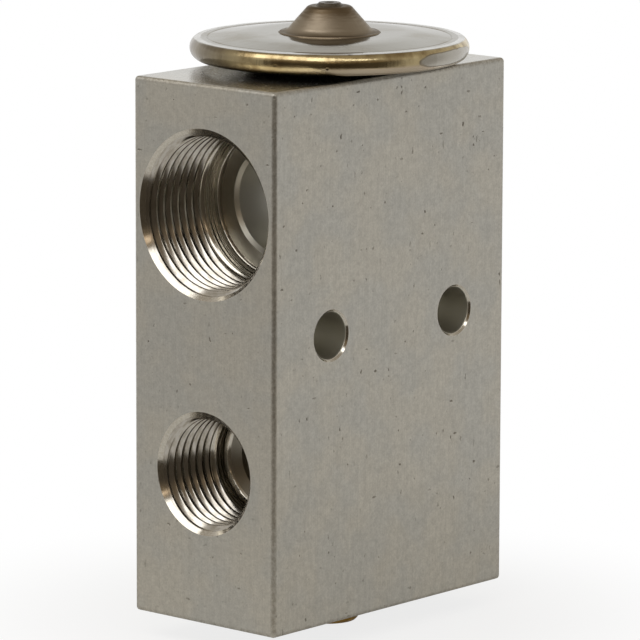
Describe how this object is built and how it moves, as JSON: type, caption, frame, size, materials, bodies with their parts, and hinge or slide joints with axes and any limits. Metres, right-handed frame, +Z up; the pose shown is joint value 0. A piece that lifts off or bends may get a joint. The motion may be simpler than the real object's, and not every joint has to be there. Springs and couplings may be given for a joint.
{
  "type": "block expansion valve",
  "caption": "Aluminium block expansion valve with screwed refrigerant ports, a welded diaphragm head on top and a brass adjusting screw underneath.",
  "frame": {"origin": "middle of the valve's outline at the end face of the adjusting screw, 3.6 mm below the block", "axes": "+Z up along the valve's own axis to the diaphragm head, -Y out of the two front ports, X along the two mounting holes"},
  "size_m": [0.0382, 0.048, 0.0861],
  "materials": {
    "block": "sawn and lightly brushed, with small pits",
    "cover_steel": "rolled sheet, near mirror",
    "weld": "weld bead with straw heat tint",
    "plug_steel": "satin, dull",
    "inner_steel": "machined",
    "spring_steel": "drawn wire and strip",
    "ball": "polished",
    "rod": "turned",
    "brass": "turned",
    "seal": "moulded"
  },
  "bodies": {
    "housing": {"valve_block": "block", "upper_cover": "cover_steel", "lower_cover": "cover_steel", "rim_weld": "weld", "charge_plug": "plug_steel", "head_seal": "seal", "diaphragm": "spring_steel", "rod_seal": "seal", "seal_washer": "inner_steel", "seal_retainer": "spring_steel"},
    "valve_stem": {"diaphragm_pad": "inner_steel", "sensing_rod": "rod", "push_pin": "inner_steel", "valve_ball": "ball", "ball_carrier": "inner_steel", "damping_spring": "spring_steel"},
    "spring_carriage": {"adjuster_seal": "seal", "superheat_spring": "spring_steel"},
    "adjuster": {"adjusting_screw": "brass"}
  },
  "joints": [
    {"name": "valve_lift", "type": "slide", "parent": "housing", "child": "valve_stem", "axis": [0, 0, -1], "range_m": [0, 0.0007], "stiffness_N_per_m": 1500, "springref_m": -0.0005},
    {"name": "adjuster_travel", "type": "slide", "parent": "housing", "child": "spring_carriage", "axis": [0, 0, 1], "range_m": [-0.001, 0.001], "deforming": ["superheat_spring"]},
    {"name": "adjuster_turn", "type": "hinge", "parent": "spring_carriage", "child": "adjuster", "pos_m": [0, 0.00155, 0.008], "axis": [0, 0, 1], "range_deg": [-360, 360]}
  ],
  "couplings": [
    {"joint": "adjuster_travel", "follows": "adjuster_turn", "m_per_rad": 0.00015915}
  ]
}
